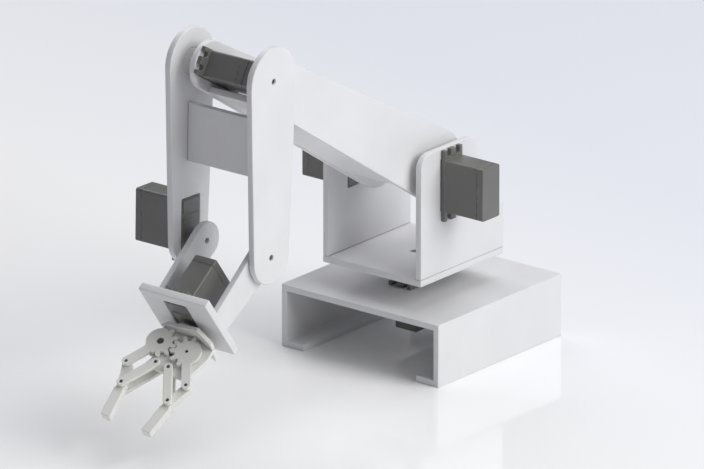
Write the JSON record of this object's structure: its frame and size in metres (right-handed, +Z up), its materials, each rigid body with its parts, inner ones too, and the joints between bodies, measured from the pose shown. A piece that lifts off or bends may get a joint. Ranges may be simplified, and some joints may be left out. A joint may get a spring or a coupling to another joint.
{
  "type": "desktop robot arm",
  "caption": "Small desk robot arm of flat white plates on a channel base, with a turning turret, shoulder, elbow, wrist pitch and roll, and a geared parallel gripper driven by servos.",
  "frame": {"origin": "middle of the whole arm's bounding box, on the surface that the base stands on", "axes": "+X to the arm's right, +Y to its back, +Z up"},
  "size_m": [0.1676, 0.4232, 0.2919],
  "materials": {
    "base_steel": "satin white paint",
    "white_plastic": "satin white plate",
    "gripper_plastic": "satin off-white moulding",
    "horn_plastic": "satin off-white moulding",
    "servo_plastic": "satin dark grey moulding",
    "pin_steel": "dark steel"
  },
  "bodies": {
    "base": {"base_channel": "base_steel", "base_servo_case": "servo_plastic", "base_servo_top_cover": "servo_plastic", "base_servo_bottom_cover": "servo_plastic"},
    "turret": {"base_servo_horn": "horn_plastic", "turret_floor": "white_plastic", "turret_left_plate": "white_plastic", "turret_right_plate": "white_plastic", "left_shoulder_servo_case": "servo_plastic", "left_shoulder_servo_top_cover": "servo_plastic", "left_shoulder_servo_bottom_cover": "servo_plastic", "right_shoulder_servo_case": "servo_plastic", "right_shoulder_servo_top_cover": "servo_plastic", "right_shoulder_servo_bottom_cover": "servo_plastic"},
    "upper_arm": {"left_shoulder_servo_horn": "horn_plastic", "right_shoulder_servo_horn": "horn_plastic", "upper_arm_left_plate": "white_plastic", "upper_arm_right_plate": "white_plastic", "upper_arm_web": "white_plastic", "elbow_servo_case": "servo_plastic", "elbow_servo_top_cover": "servo_plastic", "elbow_servo_bottom_cover": "servo_plastic", "elbow_idler_block": "servo_plastic", "elbow_pin": "pin_steel"},
    "forearm": {"elbow_servo_horn": "horn_plastic", "forearm_left_plate": "white_plastic", "forearm_right_plate": "white_plastic", "forearm_cross_plate": "white_plastic", "wrist_servo_case": "servo_plastic", "wrist_servo_top_cover": "servo_plastic", "wrist_servo_bottom_cover": "servo_plastic"},
    "wrist": {"wrist_servo_horn": "horn_plastic", "wrist_left_arm": "white_plastic", "wrist_right_arm": "white_plastic", "wrist_front_plate": "white_plastic", "wrist_pin": "pin_steel", "roll_servo_case": "servo_plastic", "roll_servo_top_cover": "servo_plastic", "roll_servo_bottom_cover": "servo_plastic"},
    "gripper": {"roll_servo_horn": "horn_plastic", "gripper_back_plate": "gripper_plastic", "gripper_base_plate": "gripper_plastic", "gripper_servo_case": "servo_plastic", "gripper_servo_top_cover": "servo_plastic", "right_hub_pin": "pin_steel", "left_link_base_pin": "pin_steel", "right_link_base_pin": "pin_steel"},
    "left_gear": {"left_gear_arm": "gripper_plastic", "gripper_servo_spline": "pin_steel", "left_arm_end_pin": "pin_steel"},
    "right_gear": {"right_gear_arm": "gripper_plastic", "right_arm_end_pin": "pin_steel"},
    "left_link": {"left_link_upper_bar": "gripper_plastic", "left_link_lower_bar": "gripper_plastic", "left_link_end_pin": "pin_steel"},
    "right_link": {"right_link_upper_bar": "gripper_plastic", "right_link_lower_bar": "gripper_plastic", "right_link_end_pin": "pin_steel"},
    "left_finger": {"left_finger": "gripper_plastic"},
    "right_finger": {"right_finger": "gripper_plastic"}
  },
  "joints": [
    {"name": "base_yaw", "type": "hinge", "parent": "base", "child": "turret", "pos_m": [0, 0.13011, 0.067], "axis": [0, 0, 1], "range_deg": [-90, 90]},
    {"name": "shoulder", "type": "hinge", "parent": "turret", "child": "upper_arm", "pos_m": [0, 0.11411, 0.149], "axis": [1, 0, 0], "range_deg": [-70, 5]},
    {"name": "elbow", "type": "hinge", "parent": "upper_arm", "child": "forearm", "pos_m": [0, -0.08133, 0.26643], "axis": [1, 0, 0], "range_deg": [-115, 8]},
    {"name": "wrist_pitch", "type": "hinge", "parent": "forearm", "child": "wrist", "pos_m": [0, -0.08442, 0.13406], "axis": [1, 0, 0], "range_deg": [-80, 15]},
    {"name": "wrist_roll", "type": "hinge", "parent": "wrist", "child": "gripper", "pos_m": [0.005, -0.13598, 0.08424], "axis": [0, -0.809, -0.5878], "range_deg": [-90, 90]},
    {"name": "grip_drive", "type": "hinge", "parent": "gripper", "child": "left_gear", "pos_m": [-0.00462, -0.15548, 0.07994], "axis": [0.2215, -0.5732, 0.7889], "range_deg": [-15, 26]},
    {"name": "right_gear_turn", "type": "hinge", "parent": "gripper", "child": "right_gear", "pos_m": [0.01683, -0.1518, 0.07488], "axis": [0.2215, -0.5732, 0.7889], "range_deg": [-26, 15]},
    {"name": "left_link_turn", "type": "hinge", "parent": "gripper", "child": "left_link", "pos_m": [-0.00011, -0.16532, 0.06525], "axis": [0.2215, -0.5732, 0.7889], "range_deg": [-15, 26]},
    {"name": "right_link_turn", "type": "hinge", "parent": "gripper", "child": "right_link", "pos_m": [0.01042, -0.16392, 0.06331], "axis": [0.2215, -0.5732, 0.7889], "range_deg": [-26, 15]},
    {"name": "left_finger_turn", "type": "hinge", "parent": "left_gear", "child": "left_finger", "pos_m": [-0.01926, -0.17557, 0.06546], "axis": [0.2215, -0.5732, 0.7889], "range_deg": [-26, 15]},
    {"name": "right_finger_turn", "type": "hinge", "parent": "right_gear", "child": "right_finger", "pos_m": [0.03037, -0.16895, 0.05634], "axis": [0.2215, -0.5732, 0.7889], "range_deg": [-15, 26]}
  ],
  "couplings": [
    {"joint": "right_gear_turn", "follows": "grip_drive", "ratio": -1},
    {"joint": "left_link_turn", "follows": "grip_drive", "ratio": 1},
    {"joint": "right_link_turn", "follows": "grip_drive", "ratio": -1},
    {"joint": "left_finger_turn", "follows": "grip_drive", "ratio": -1},
    {"joint": "right_finger_turn", "follows": "grip_drive", "ratio": 1}
  ]
}
